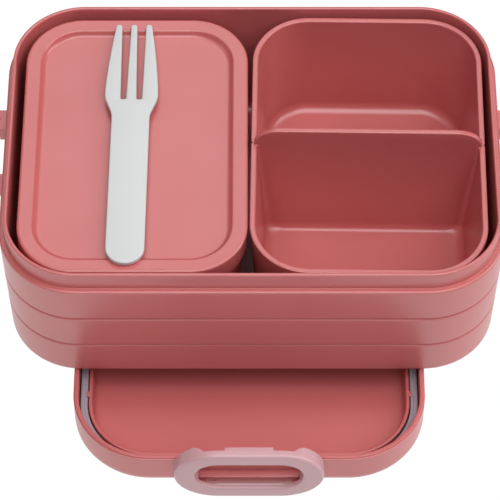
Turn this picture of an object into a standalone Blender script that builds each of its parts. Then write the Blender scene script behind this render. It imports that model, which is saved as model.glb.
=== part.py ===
"""Bento lunch box, open: the box stands on its upturned lid, with the tray, the small
box and the fork in it. The lid lies across the box, so its long side runs along Y.

Frame: +Z up, Z = 0 on the surface it stands on, origin under the middle of the lid's length.
"""
from math import asin, cos, pi, radians, sin, sqrt

import bmesh
import bpy
from mathutils import Vector

MM = 0.001
GAP = 0.3 * MM                  # air between pieces that rest on or fit in each other

# Driving dimensions of the closed box, seen from above and from the side
LENGTH = 169.5 * MM
WIDTH = 120 * MM
CORNER_RADIUS = 26.5 * MM
BAND_HEIGHT = 16 * MM
BAND_COUNT = 3
NECK_HEIGHT = 7.2 * MM
LID_HEIGHT = 14.7 * MM
DRAFT = 1.5 * MM                # how far the walls lean in from the shoulder to the foot

# Where things stand
BOX_Z = LID_HEIGHT + GAP
BOX_Y = 9.25 * MM
LID_X = -1 * MM
CORNER_STEPS = 6

# Outer box
NECK_INSET = 1.95 * MM
NECK_WALL = 1.3 * MM
BODY_WALL = 3.4 * MM            # at the foot
BOX_FOOT_WIDTH = 6 * MM
BOX_RECESS = 1.6 * MM
BOX_FLOOR = 3.6 * MM
GROOVE = 0.6 * MM               # depth, and half the height, of the lines between bands
SHOULDER_Z = BAND_COUNT * BAND_HEIGHT
RIM_Z = SHOULDER_Z + NECK_HEIGHT

# Catch prongs on the short sides
PRONG_REACH = 5.5 * MM
PRONG_INNER = 9.7 * MM
PRONG_OUTER = 18 * MM
PRONG_TOP = SHOULDER_Z - 1.3 * MM
PRONG_HEIGHT = 3.9 * MM
PRONG_ROUND = 3.8 * MM
PRONG_ROOT = 1.2 * MM           # how far the prong is sunk into the wall
WEB_REACH = 2.3 * MM            # a small web under the prong's inner end stiffens it
WEB_WIDTH = 1.8 * MM
WEB_HEIGHT = 6 * MM

# Lid, upside down
LID_WALL = 1.75 * MM
LID_PANEL = 2 * MM
CHANNEL_INNER = 5 * MM          # from the lid's outside to the rib
CHANNEL_FLOOR = 2.6 * MM
RIB_TOP = 9.2 * MM
RIB_WIDTH = 1.2 * MM
NUB_ALONG = 55 * MM             # seal keepers, from the lid's middle along its length
NUB_LENGTH = 2.2 * MM
NUB_REACH = 0.7 * MM
NUB_HEIGHT = 0.8 * MM
SEAL_OUTER = 2.1 * MM
SEAL_INNER = 4.65 * MM
SEAL_TOP = 8.1 * MM

# Clip and its hinge
AXIS_OUT = 3.2 * MM             # from the lid's wall to the hinge axis
AXIS_Z = 4 * MM
PIN_RADIUS = 1.3 * MM
PIN_HOLE_RADIUS = 1.6 * MM
PIN_START = 14.5 * MM           # the two pins stand out of the bracket's ends
PIN_END = 20.5 * MM
PIN_HOLE_END = 20.9 * MM
BRACKET_HALF = 18.5 * MM
BRACKET_REACH = 2.8 * MM
BRACKET_ROOT = 1 * MM
BRACKET_LOW = 2.7 * MM
BRACKET_TOP = 7.5 * MM
RING_HALF_WIDTH = 25.15 * MM
RING_HALF_HEIGHT = 12.7 * MM
RING_END = 15 * MM              # how much of the half width the round ends take
RING_CENTRE = 9.4 * MM          # above the axis
HOLE_HALF_WIDTH = 18.15 * MM
HOLE_HALF_HEIGHT = 7.2 * MM
HOLE_END = 8 * MM
RING_FRONT = 3.35 * MM          # in front of the axis
RING_BACK = 2.05 * MM           # behind it, at the ends of the ring
LOW_BAR_BACK = -1.65 * MM
TOP_BAR_BACK = -0.65 * MM
BLOCK_BACK = 0.55 * MM
BLOCK_HALF = 8.1 * MM
EAR_FOOT = 15 * MM
EAR_HEAD = 17.6 * MM
EAR_CREST = 20 * MM
BOSS_RADIUS = 2.9 * MM
BOSS_INNER = 18.85 * MM
LOW_POCKET_TOP = 5.8 * MM       # above the axis
CUT_PAST = 1 * MM               # how far a cutting solid goes past what it cuts

# Tray with two compartments
INSERT_X = 39.4 * MM
INSERT_LENGTH = 79.5 * MM
INSERT_DEPTH = 110.4 * MM
INSERT_RADIUS = 20 * MM
INSERT_TURN = radians(-0.9)     # it lies a little loose in the box
INSERT_WALL = 2 * MM
INSERT_HEIGHT = 48.3 * MM
INSERT_FLOOR = 4.1 * MM
INSERT_RECESS = 2.4 * MM
INSERT_LEAN = 2.5 * MM          # of the outside, from the rim to the foot
INSERT_DRAFT = 2.9 * MM         # of the inside
INSERT_FILLET = 3.5 * MM
DIVIDER_Y = -1 * MM
DIVIDER_TOP = 55.5 * MM
DIVIDER_HALF = 0.95 * MM
DIVIDER_DRAFT = 1.7 * MM
DIVIDER_ROUND = 9 * MM
DIVIDER_CORNER = 1 * MM
SEAM_NOTCH = 0.5 * MM
SEAM_DEPTH = 12 * MM

# Small box and its lid
SNACK_X = -39.93 * MM
SNACK_LENGTH = 77 * MM
SNACK_DEPTH = 109.1 * MM
SNACK_RADIUS = 19.5 * MM
SNACK_TOP = 48.3 * MM
SNACK_SKIRT = 8 * MM
SNACK_LID_WALL = 1.4 * MM
SNACK_BORDER = 5.2 * MM
SNACK_SUNK = 2 * MM
SNACK_PANEL = 1.5 * MM
SNACK_WALL = 1.6 * MM
SNACK_DRAFT = 1.3 * MM
SNACK_FLOOR = 3.4 * MM
SNACK_RECESS = 1.6 * MM
SNACK_FILLET = 4 * MM

# Fork
FORK_X = -41.8 * MM
FORK_Y = -0.9 * MM
FORK_TURN = radians(-0.5)
FORK_THICK = 1.8 * MM
FORK_HALF_LENGTH = 51.4 * MM
HANDLE_HALF = 6.5 * MM
HEAD_HALF = 9.15 * MM
TIP_HALF = 6.3 * MM             # half the width across the outer tines' tips
NECK_Y = 10 * MM
HEAD_Y = 20 * MM
SLOT_Y = 18.3 * MM
TINE_ROUND_Y = 50.3 * MM
MID_TINE_ROOT = 1.77 * MM
MID_TINE_TIP = 1.08 * MM
SIDE_TINE_ROOT = 3.65 * MM
SIDE_TINE_TIP = 4.15 * MM

# Colours, linear RGB
PINK = (0.50, 0.118, 0.118)
PALE_PINK = (0.60, 0.33, 0.36)
GREY = (0.28, 0.28, 0.30)
WHITE = (0.68, 0.70, 0.69)


# ---- general helpers -------------------------------------------------------------------

def plastic(name, color, roughness):
    material = bpy.data.materials.new(name)
    material.use_nodes = True
    shader = material.node_tree.nodes["Principled BSDF"]
    shader.inputs["Base Color"].default_value = (*color, 1)
    shader.inputs["Roughness"].default_value = roughness
    shader.inputs["Metallic"].default_value = 0
    return material


def add_object(name, mesh):
    item = bpy.data.objects.new(name, mesh)
    bpy.context.collection.objects.link(item)
    return item


def solid_from_loops(name, loops):
    """A closed solid: the loops joined in order, with flat faces over the first and last."""
    bm = bmesh.new()
    rings = [[bm.verts.new(point) for point in loop] for loop in loops]
    for lower, upper in zip(rings, rings[1:]):
        for i in range(len(lower)):
            j = (i + 1) % len(lower)
            bm.faces.new((lower[i], lower[j], upper[j], upper[i]))
    bm.faces.new(reversed(rings[0]))
    bm.faces.new(rings[-1])
    bmesh.ops.recalc_face_normals(bm, faces=bm.faces)
    mesh = bpy.data.meshes.new(name)
    bm.to_mesh(mesh)
    bm.free()
    return add_object(name, mesh)


def ring_from_loops(name, loops):
    """A closed ring: the loops joined in order, the last one to the first."""
    bm = bmesh.new()
    rings = [[bm.verts.new(point) for point in loop] for loop in loops]
    for lower, upper in zip(rings, rings[1:] + rings[:1]):
        for i in range(len(lower)):
            j = (i + 1) % len(lower)
            bm.faces.new((lower[i], lower[j], upper[j], upper[i]))
    bmesh.ops.recalc_face_normals(bm, faces=bm.faces)
    mesh = bpy.data.meshes.new(name)
    bm.to_mesh(mesh)
    bm.free()
    return add_object(name, mesh)


def rounded_loop(low, high, radii, z, steps=CORNER_STEPS):
    """A level rounded rectangle. The radii belong to the corners +X+Y, -X+Y, -X-Y, +X-Y."""
    corners = ((high[0], high[1]), (low[0], high[1]), (low[0], low[1]), (high[0], low[1]))
    signs = ((1, 1), (-1, 1), (-1, -1), (1, -1))
    points = []
    for quarter in range(4):
        radius = radii[quarter]
        centre_x = corners[quarter][0] - signs[quarter][0] * radius
        centre_y = corners[quarter][1] - signs[quarter][1] * radius
        for step in range(steps + 1):
            angle = (quarter + step / steps) * pi / 2
            points.append(Vector((centre_x + radius * cos(angle), centre_y + radius * sin(angle), z)))
    return points


def inset_loops(half_x, half_y, radius, profile):
    """One loop for each (inset, z) of the profile, around the origin."""
    loops = []
    for inset, z in profile:
        x, y = half_x - inset, half_y - inset
        loops.append(rounded_loop((-x, -y), (x, y), [radius - inset] * 4, z))
    return loops


def prism(name, outline, axis, start, end):
    """The outline's points, in the two other axes in their order, carried along one axis."""
    loops = []
    for place in (start, end):
        loop = []
        for first, second in outline:
            point = [first, second]
            point.insert("XYZ".index(axis), place)
            loop.append(Vector(point))
        loops.append(loop)
    return solid_from_loops(name, loops)


def box(name, low, high):
    outline = [(low[0], low[1]), (high[0], low[1]), (high[0], high[1]), (low[0], high[1])]
    return prism(name, outline, "Z", low[2], high[2])


def circle(centre, radius, steps=16):
    turns = [(step + 0.5) / steps * 2 * pi for step in range(steps)]
    return [(centre[0] + radius * cos(turn), centre[1] + radius * sin(turn)) for turn in turns]


def combine(target, tool, operation):
    """Applies a boolean to the target and removes the tool."""
    modifier = target.modifiers.new(operation.lower(), "BOOLEAN")
    modifier.operation = operation
    modifier.solver = "EXACT"
    modifier.object = tool
    evaluated = target.evaluated_get(bpy.context.evaluated_depsgraph_get())
    result = bpy.data.meshes.new_from_object(evaluated)
    target.modifiers.clear()
    old = target.data
    target.data = result
    bpy.data.meshes.remove(old)
    bpy.data.objects.remove(tool)


def finish(item, material, location=(0, 0, 0), turn=0, parent=None):
    """Material, smooth shading, and the place in the frame; a parent keeps that place."""
    item.data.name = item.name
    item.data.materials.clear()
    item.data.materials.append(material)
    item.data.shade_smooth()
    item.data.set_sharp_from_angle(angle=radians(35))
    item.location = Vector(location)
    item.rotation_euler.z = turn
    bpy.context.view_layer.update()
    if parent:
        item.parent = parent
        item.matrix_parent_inverse = parent.matrix_world.inverted()
    return item


# ---- the outer box ---------------------------------------------------------------------

def body_inset(z):
    """How far the outside wall is inside the shoulder's outline at a height."""
    return DRAFT * (1 - z / SHOULDER_Z)


def prong(side, end):
    """One catch prong; its lower outer corner is round, as the ring's hole is."""
    inner, outer = PRONG_INNER, PRONG_OUTER
    top, bottom = PRONG_TOP, PRONG_TOP - PRONG_HEIGHT
    outline = [(inner, bottom)]
    for step in range(5):
        angle = (step / 4 - 1) * pi / 2
        outline.append((outer - PRONG_ROUND + PRONG_ROUND * cos(angle),
                        bottom + PRONG_ROUND + PRONG_ROUND * sin(angle)))
    outline += [(outer, top), (inner, top)]
    outline = [(end * along, z) for along, z in outline]
    wall = LENGTH / 2
    return prism("prong", outline, "X", side * (wall - PRONG_ROOT), side * (wall + PRONG_REACH))


def web(side, end):
    """The web under a prong's inner end, close to the wall so that the clip's bar passes it."""
    inner, outer = PRONG_INNER, PRONG_INNER + WEB_WIDTH
    bottom, top = PRONG_TOP - WEB_HEIGHT, PRONG_TOP - PRONG_HEIGHT / 2
    outline = [(end * inner, bottom), (end * outer, bottom), (end * outer, top), (end * inner, top)]
    wall = LENGTH / 2
    return prism("web", outline, "X", side * (wall - PRONG_ROOT), side * (wall + WEB_REACH))


def make_lunch_box(material):
    foot = DRAFT
    profile = [
        (foot + BOX_FOOT_WIDTH + BOX_RECESS, BOX_RECESS),
        (foot + BOX_FOOT_WIDTH, 0),
        (foot + 1.2 * MM, 0),
        (foot + 0.3 * MM, 0.4 * MM),
        (body_inset(1.3 * MM), 1.3 * MM),
    ]
    for band in range(1, BAND_COUNT):
        z = band * BAND_HEIGHT
        profile += [
            (body_inset(z), z - GROOVE),
            (body_inset(z) + GROOVE, z),
            (body_inset(z), z + GROOVE),
        ]
    rim_inner = NECK_INSET + NECK_WALL
    floor_inner = DRAFT + BODY_WALL
    profile += [
        (0, SHOULDER_Z - 0.8 * MM),
        (0.25 * MM, SHOULDER_Z - 0.2 * MM),
        (0.8 * MM, SHOULDER_Z),
        (NECK_INSET, SHOULDER_Z),
        (NECK_INSET, RIM_Z - 0.6 * MM),
        (NECK_INSET + 0.2 * MM, RIM_Z - 0.15 * MM),
        (NECK_INSET + 0.6 * MM, RIM_Z),
        (rim_inner - 0.5 * MM, RIM_Z),
        (rim_inner, RIM_Z - 0.5 * MM),
        (floor_inner, BOX_FLOOR + 4 * MM),
        (floor_inner + 1.2 * MM, BOX_FLOOR + 1.2 * MM),
        (floor_inner + 4 * MM, BOX_FLOOR),
    ]
    body = solid_from_loops("lunch_box", inset_loops(LENGTH / 2, WIDTH / 2, CORNER_RADIUS, profile))
    for side in (-1, 1):
        for end in (-1, 1):
            combine(body, prong(side, end), "UNION")
            combine(body, web(side, end), "UNION")
    return finish(body, material, (0, BOX_Y, BOX_Z))


# ---- the lid, its seal and its clips ---------------------------------------------------

def make_lid_shell(material):
    rib_inner = CHANNEL_INNER + RIB_WIDTH
    profile = [
        (4.5 * MM, 0),
        (2.6 * MM, 0.35 * MM),
        (1.2 * MM, 1.3 * MM),
        (0.35 * MM, 2.7 * MM),
        (0, 4.2 * MM),
        (0, LID_HEIGHT - 0.8 * MM),
        (0.45 * MM, LID_HEIGHT - 0.75 * MM),
        (0.45 * MM, LID_HEIGHT - 0.25 * MM),
        (0.7 * MM, LID_HEIGHT),
        (LID_WALL - 0.25 * MM, LID_HEIGHT),
        (LID_WALL, LID_HEIGHT - 0.3 * MM),
        (LID_WALL, CHANNEL_FLOOR),
        (CHANNEL_INNER, CHANNEL_FLOOR),
        (CHANNEL_INNER, RIB_TOP - 0.3 * MM),
        (CHANNEL_INNER + 0.3 * MM, RIB_TOP),
        (rib_inner - 0.3 * MM, RIB_TOP),
        (rib_inner, RIB_TOP - 0.3 * MM),
        (rib_inner + 0.6 * MM, LID_PANEL + 1.2 * MM),
        (rib_inner + 2 * MM, LID_PANEL),
    ]
    # the lid lies across the box: its width runs along X
    shell = solid_from_loops("lid_shell", inset_loops(WIDTH / 2, LENGTH / 2, CORNER_RADIUS, profile))
    for end in (-1, 1):
        wall = end * LENGTH / 2
        root, face = wall - end * BRACKET_ROOT, wall + end * BRACKET_REACH
        outline = [(root, BRACKET_LOW), (face, BRACKET_LOW), (face, BRACKET_TOP), (root, BRACKET_TOP)]
        combine(shell, prism("bracket", outline, "X", -BRACKET_HALF, BRACKET_HALF), "UNION")
        for side in (-1, 1):
            pin = prism("pin", circle((wall + end * AXIS_OUT, AXIS_Z), PIN_RADIUS), "X",
                        side * PIN_START, side * PIN_END)
            combine(shell, pin, "UNION")
    for side in (-1, 1):
        root = side * (WIDTH / 2 - CHANNEL_INNER - NUB_REACH / 2)
        tip = side * (WIDTH / 2 - CHANNEL_INNER + NUB_REACH)
        low, high = RIB_TOP - NUB_HEIGHT, RIB_TOP - 0.1 * MM
        for along in (-NUB_ALONG, NUB_ALONG):
            outline = [(root, low), (tip, low), (tip, high), (root, high)]
            nub = prism("nub", outline, "Y", along - NUB_LENGTH / 2, along + NUB_LENGTH / 2)
            combine(shell, nub, "UNION")
    return finish(shell, material, (LID_X, 0, 0))


def make_lid_seal(material, lid):
    profile = [
        (SEAL_OUTER, CHANNEL_FLOOR + GAP),
        (SEAL_OUTER, SEAL_TOP - 0.5 * MM),
        (SEAL_OUTER + 0.5 * MM, SEAL_TOP),
        (SEAL_INNER - 0.5 * MM, SEAL_TOP),
        (SEAL_INNER, SEAL_TOP - 0.5 * MM),
        (SEAL_INNER, CHANNEL_FLOOR + GAP),
    ]
    seal = ring_from_loops("lid_seal", inset_loops(WIDTH / 2, LENGTH / 2, CORNER_RADIUS, profile))
    return finish(seal, material, (LID_X, 0, 0), parent=lid)


def oval(half_width, half_height, end, inset, y, steps=8):
    """An upright oval at a depth y, with elliptical ends, around the ring's centre."""
    points = []
    for side, start in ((1, -pi / 2), (-1, pi / 2)):
        for step in range(steps + 1):
            angle = start + pi * step / steps
            x = side * (half_width - end) + (end - inset) * cos(angle)
            points.append(Vector((x, y, RING_CENTRE + (half_height - inset) * sin(angle))))
    return points


def make_clip(name, material, location, turn, lid):
    """The ring clip, made with its hinge axis along X through the origin, facing -Y."""
    outer = [
        (0.9 * MM, -RING_FRONT),
        (0.3 * MM, -RING_FRONT + 0.25 * MM),
        (0, -RING_FRONT + 0.9 * MM),
        (0, RING_BACK - 0.5 * MM),
        (0.5 * MM, RING_BACK),
    ]
    ring = solid_from_loops(name, [oval(RING_HALF_WIDTH, RING_HALF_HEIGHT, RING_END, inset, y)
                                   for inset, y in outer])
    hole = [
        (-0.6 * MM, -RING_FRONT - 0.5 * MM),
        (-0.6 * MM, -RING_FRONT),
        (0, -RING_FRONT + 0.7 * MM),
        (0, RING_BACK + 0.5 * MM),
    ]
    combine(ring, solid_from_loops("hole", [oval(HOLE_HALF_WIDTH, HOLE_HALF_HEIGHT, HOLE_END, inset, y)
                                            for inset, y in hole]), "DIFFERENCE")
    beyond = RING_BACK + CUT_PAST
    low = RING_CENTRE - RING_HALF_HEIGHT - CUT_PAST
    high = RING_CENTRE + RING_HALF_HEIGHT + CUT_PAST
    pocket_low, pocket_high = (-BOSS_INNER, LOW_BAR_BACK, low), (BOSS_INNER, beyond, LOW_POCKET_TOP)
    combine(ring, box("low_bar_pocket", pocket_low, pocket_high), "DIFFERENCE")
    right = [(BLOCK_HALF, BLOCK_BACK), (BLOCK_HALF, TOP_BAR_BACK), (EAR_FOOT, TOP_BAR_BACK),
             (EAR_HEAD, RING_BACK - 0.5 * MM), (EAR_CREST, RING_BACK), (EAR_CREST, beyond)]
    outline = right + [(-x, y) for x, y in reversed(right)]
    combine(ring, prism("top_bar_pocket", outline, "Z", RING_CENTRE, high), "DIFFERENCE")
    # round the heel, so that the ring clears the lid's wall as it swings
    heel = [(LOW_BAR_BACK, low), (beyond + BOSS_RADIUS, low), (beyond + BOSS_RADIUS, 0)]
    heel_end = pi - asin(sqrt(BOSS_RADIUS ** 2 - LOW_BAR_BACK ** 2) / BOSS_RADIUS)
    for step in range(7):
        angle = -heel_end * step / 6
        heel.append((BOSS_RADIUS * cos(angle), BOSS_RADIUS * sin(angle)))
    half = RING_HALF_WIDTH + CUT_PAST
    combine(ring, prism("heel", heel, "X", -half, half), "DIFFERENCE")
    for side in (-1, 1):
        combine(ring, prism("pin_hole", circle((0, 0), PIN_HOLE_RADIUS), "X",
                            side * (BOSS_INNER - 1 * MM), side * PIN_HOLE_END), "DIFFERENCE")
    return finish(ring, material, location, turn, lid)


def make_clips(material_front, material_rear, lid):
    axis_y = LENGTH / 2 + AXIS_OUT
    make_clip("front_clip", material_front, (LID_X, -axis_y, AXIS_Z), 0, lid)
    make_clip("rear_clip", material_rear, (LID_X, axis_y, AXIS_Z), pi, lid)


# ---- the tray --------------------------------------------------------------------------

def make_insert(material, lunch_box):
    half_x, half_y = INSERT_LENGTH / 2, INSERT_DEPTH / 2
    lean = INSERT_LEAN
    outer = [
        (lean + 7 * MM, INSERT_RECESS),
        (lean + 6 * MM, 0),
        (lean + 4.2 * MM, 0),
        (lean + 1.4 * MM, 1.2 * MM),
        (lean + 0.2 * MM, 4 * MM),
        (0.1 * MM, INSERT_HEIGHT - 2 * MM),
        (0, INSERT_HEIGHT - 0.5 * MM),
        (0.4 * MM, INSERT_HEIGHT),
    ]
    tray = solid_from_loops("bento_insert", inset_loops(half_x, half_y, INSERT_RADIUS, outer))
    inner_x = half_x - INSERT_WALL / 2
    rise = DIVIDER_TOP - INSERT_HEIGHT
    foot = inner_x - INSERT_LEAN
    outline = [(-foot, INSERT_FLOOR), (foot, INSERT_FLOOR)]
    for step in range(7):
        angle = step / 6 * pi / 2
        outline.append((inner_x - DIVIDER_ROUND + DIVIDER_ROUND * cos(angle),
                        INSERT_HEIGHT + rise * sin(angle)))
    outline += [(-x, z) for x, z in reversed(outline[2:])]
    divider = prism("divider", outline, "Y", DIVIDER_Y - DIVIDER_HALF, DIVIDER_Y + DIVIDER_HALF)
    combine(tray, divider, "UNION")
    for side in (-1, 1):
        combine(tray, compartment(side, half_x, half_y), "DIFFERENCE")
        notch_x = side * half_x
        outline = [(notch_x, DIVIDER_Y - SEAM_NOTCH), (notch_x + SEAM_NOTCH, DIVIDER_Y),
                   (notch_x, DIVIDER_Y + SEAM_NOTCH), (notch_x - SEAM_NOTCH, DIVIDER_Y)]
        notch = prism("notch", outline, "Z", INSERT_HEIGHT - SEAM_DEPTH, INSERT_HEIGHT + CUT_PAST)
        combine(tray, notch, "DIFFERENCE")
    location = (INSERT_X, BOX_Y, BOX_Z + BOX_FLOOR + GAP)
    return finish(tray, material, location, INSERT_TURN, lunch_box)


def compartment(side, half_x, half_y):
    """The space of one compartment; side is 1 behind the divider and -1 in front of it."""
    levels = [
        (INSERT_DRAFT + INSERT_FILLET, DIVIDER_DRAFT + 2 * MM, INSERT_FLOOR),
        (INSERT_DRAFT + INSERT_FILLET * 0.3, DIVIDER_DRAFT + 0.6 * MM, INSERT_FLOOR + INSERT_FILLET * 0.3),
        (INSERT_DRAFT, DIVIDER_DRAFT, INSERT_FLOOR + INSERT_FILLET),
        (0, 0, INSERT_HEIGHT),
        (0, 0, DIVIDER_TOP + CUT_PAST),
    ]
    loops = []
    for inset, thicker, z in levels:
        x = half_x - INSERT_WALL - inset
        far = half_y - INSERT_WALL - inset
        near = DIVIDER_Y + side * (DIVIDER_HALF + thicker)
        big = INSERT_RADIUS - INSERT_WALL - inset
        small = DIVIDER_CORNER + thicker
        if side > 0:
            loops.append(rounded_loop((-x, near), (x, far), (big, big, small, small), z))
        else:
            loops.append(rounded_loop((-x, -far), (x, near), (small, small, big, big), z))
    return solid_from_loops("compartment", loops)


# ---- the small box and its lid ---------------------------------------------------------

def make_snack_container(material, lunch_box):
    outside = SNACK_LID_WALL + GAP
    inside = outside + SNACK_WALL
    lean = outside + SNACK_DRAFT
    rim = SNACK_TOP - SNACK_PANEL - GAP
    profile = [
        (lean + 7 * MM, SNACK_RECESS),
        (lean + 6 * MM, 0),
        (lean + 4 * MM, 0),
        (lean + 1.2 * MM, 1.2 * MM),
        (lean, 4 * MM),
        (outside, rim - 0.4 * MM),
        (outside + 0.4 * MM, rim),
        (inside - 0.4 * MM, rim),
        (inside, rim - 0.4 * MM),
        (inside + SNACK_DRAFT, SNACK_FLOOR + SNACK_FILLET),
        (inside + SNACK_DRAFT + SNACK_FILLET * 0.3, SNACK_FLOOR + SNACK_FILLET * 0.3),
        (inside + SNACK_DRAFT + SNACK_FILLET, SNACK_FLOOR),
    ]
    item = solid_from_loops("snack_container",
                            inset_loops(SNACK_LENGTH / 2, SNACK_DEPTH / 2, SNACK_RADIUS, profile))
    return finish(item, material, (SNACK_X, BOX_Y, BOX_Z + BOX_FLOOR + GAP), parent=lunch_box)


def make_snack_container_lid(material, container):
    under = -SNACK_SUNK - SNACK_PANEL
    profile = [
        (SNACK_BORDER + 1.5 * MM, under),
        (SNACK_BORDER + 0.6 * MM, -SNACK_PANEL),
        (SNACK_LID_WALL, -SNACK_PANEL),
        (SNACK_LID_WALL, -SNACK_SKIRT),
        (0, -SNACK_SKIRT),
        (0, -1 * MM),
        (0.3 * MM, -0.3 * MM),
        (1 * MM, 0),
        (SNACK_BORDER, 0),
        (SNACK_BORDER + 0.5 * MM, -0.3 * MM),
        (SNACK_BORDER + 1.4 * MM, -SNACK_SUNK),
    ]
    item = solid_from_loops("snack_container_lid",
                            inset_loops(SNACK_LENGTH / 2, SNACK_DEPTH / 2, SNACK_RADIUS, profile))
    top = BOX_Z + BOX_FLOOR + GAP + SNACK_TOP
    return finish(item, material, (SNACK_X, BOX_Y, top), parent=container)


# ---- the fork --------------------------------------------------------------------------

def fork_half_width(y):
    """Half the fork's width: handle, flare to the head, and taper to the tips."""
    if y < HEAD_Y:
        t = max(0, (y - NECK_Y) / (HEAD_Y - NECK_Y))
        return HANDLE_HALF + (HEAD_HALF - HANDLE_HALF) * (3 * t * t - 2 * t ** 3)
    t = (y - HEAD_Y) / (TINE_ROUND_Y - HEAD_Y)
    return HEAD_HALF - (HEAD_HALF - TIP_HALF) * t ** 1.5


def round_tip(inner_x, outer_x, steps=6):
    """The rounded end of a tine between two x, from the outer one to the inner one."""
    centre, radius = (inner_x + outer_x) / 2, (outer_x - inner_x) / 2
    turns = [pi * step / steps for step in range(steps + 1)]
    return [(centre + radius * cos(turn), TINE_ROUND_Y + radius * sin(turn)) for turn in turns]


def fork_outline():
    right = []
    for step in range(7):
        angle = (step / 6 - 1) * pi / 2
        right.append((HANDLE_HALF * cos(angle), -FORK_HALF_LENGTH + HANDLE_HALF + HANDLE_HALF * sin(angle)))
    levels = [NECK_Y + 2 * MM * step for step in range(6)]
    levels += [HEAD_Y + (TINE_ROUND_Y - HEAD_Y) * step / 5 for step in range(1, 5)]
    right += [(fork_half_width(y), y) for y in levels]
    right += round_tip(SIDE_TINE_TIP, TIP_HALF)
    right += [(SIDE_TINE_ROOT, SLOT_Y), (SIDE_TINE_ROOT - 0.4 * MM, SLOT_Y - 0.4 * MM),
              (MID_TINE_ROOT + 0.4 * MM, SLOT_Y - 0.4 * MM), (MID_TINE_ROOT, SLOT_Y)]
    middle = round_tip(-MID_TINE_TIP, MID_TINE_TIP)
    left = [(-x, y) for x, y in reversed(right)]
    return right + middle + left[:-1]


def make_fork(material, snack_lid):
    item = prism("fork", fork_outline(), "Z", 0, FORK_THICK)
    top = BOX_Z + BOX_FLOOR + GAP + SNACK_TOP
    return finish(item, material, (FORK_X, BOX_Y + FORK_Y, top + GAP), FORK_TURN, snack_lid)


def main():
    for item in list(bpy.data.objects):
        bpy.data.objects.remove(item)
    lid = make_lid_shell(plastic("lid_pink", PINK, 0.32))
    make_lid_seal(plastic("seal_grey", GREY, 0.6), lid)
    make_clips(plastic("front_clip_pale_pink", PALE_PINK, 0.35),
               plastic("rear_clip_pale_pink", PALE_PINK, 0.35), lid)
    lunch_box = make_lunch_box(plastic("box_pink", PINK, 0.32))
    make_insert(plastic("insert_pink", PINK, 0.32), lunch_box)
    container = make_snack_container(plastic("container_pink", PINK, 0.32), lunch_box)
    snack_lid = make_snack_container_lid(plastic("container_lid_pink", PINK, 0.32), container)
    make_fork(plastic("fork_white", WHITE, 0.4), snack_lid)


main()
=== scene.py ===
"""Looks of the bento lunch box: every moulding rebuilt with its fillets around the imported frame.

Metres, +Z up. Pieces are made in the frame's own places, read from the CAD nodes' boxes.
"""
from math import asin, cos, pi, radians, sin, sqrt

import bmesh
import bpy
from mathutils import Matrix, Vector


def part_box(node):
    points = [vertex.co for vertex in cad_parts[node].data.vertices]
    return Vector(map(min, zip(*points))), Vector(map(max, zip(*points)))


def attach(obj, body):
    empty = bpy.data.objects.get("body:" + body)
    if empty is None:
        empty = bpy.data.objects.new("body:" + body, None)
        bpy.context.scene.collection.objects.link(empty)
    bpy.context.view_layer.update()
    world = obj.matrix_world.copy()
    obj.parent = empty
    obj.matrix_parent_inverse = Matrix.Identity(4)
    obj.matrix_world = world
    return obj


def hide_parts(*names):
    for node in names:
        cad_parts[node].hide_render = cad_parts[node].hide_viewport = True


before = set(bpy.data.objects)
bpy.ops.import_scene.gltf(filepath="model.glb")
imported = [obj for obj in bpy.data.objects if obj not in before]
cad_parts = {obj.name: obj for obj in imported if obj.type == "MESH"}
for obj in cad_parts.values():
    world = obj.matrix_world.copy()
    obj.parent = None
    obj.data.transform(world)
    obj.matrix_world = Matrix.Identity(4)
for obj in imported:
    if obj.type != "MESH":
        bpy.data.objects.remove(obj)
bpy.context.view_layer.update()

MM = 0.001
CORNER_STEPS = 22
FILLET_STEPS = 5
SUPPORT = 0.25 * MM             # rings next to a fillet that keep flat walls flat
SIDE_SUPPORT = 1.5 * MM


# ---- places read from the frame --------------------------------------------------------

def middle(node):
    low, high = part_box(node)
    return (Vector(low) + Vector(high)) / 2


box_low, box_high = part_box("lunch_box")
lid_low, lid_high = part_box("lid_shell")
insert_low, insert_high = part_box("bento_insert")
snack_low, snack_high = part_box("snack_container")
snack_lid_low, snack_lid_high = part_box("snack_container_lid")
fork_low, fork_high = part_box("fork")
clip_low, clip_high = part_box("front_clip")
seal_low, seal_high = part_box("lid_seal")

# Main sizes that the boxes don't give directly
PRONG_REACH = 5.5 * MM
PIN_OVERHANG = 4.5 * MM         # from the lid's wall to the far side of the hinge pin
LENGTH = box_high[0] - box_low[0] - 2 * PRONG_REACH
WIDTH = box_high[1] - box_low[1]
CORNER_RADIUS = 26.5 * MM
DRAFT = 1.5 * MM
NECK_HEIGHT = 7.2 * MM
LID_HEIGHT = lid_high[2]
RIM_Z = box_high[2] - box_low[2]
SHOULDER_Z = RIM_Z - NECK_HEIGHT
BAND_HEIGHT = SHOULDER_Z / 3
BOX_PLACE = Vector((middle("lunch_box").x, middle("lunch_box").y, box_low[2]))
LID_PLACE = Vector((middle("lid_shell").x, middle("lid_shell").y, 0))


# ---- mesh helpers ----------------------------------------------------------------------

def soften(points, closed=False):
    """Rounds a profile of (inset, z, softness) points: each soft corner becomes a short curve."""
    count = len(points)
    result = []
    for i, (inset, z, soft) in enumerate(points):
        here = Vector((inset, z))
        if soft <= 0 or (not closed and i in (0, count - 1)):
            result.append(here)
            continue
        before = Vector(points[i - 1][:2]) - here
        after = Vector(points[(i + 1) % count][:2]) - here
        start = here + before.normalized() * soft
        end = here + after.normalized() * soft
        if before.length > soft * 2 + SUPPORT * 2:
            result.append(start + before.normalized() * SUPPORT)
        for step in range(FILLET_STEPS + 1):
            t = step / FILLET_STEPS
            result.append(start * (1 - t) ** 2 + here * 2 * t * (1 - t) + end * t * t)
        if after.length > soft * 2 + SUPPORT * 2:
            result.append(end + after.normalized() * SUPPORT)
    return result


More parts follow.
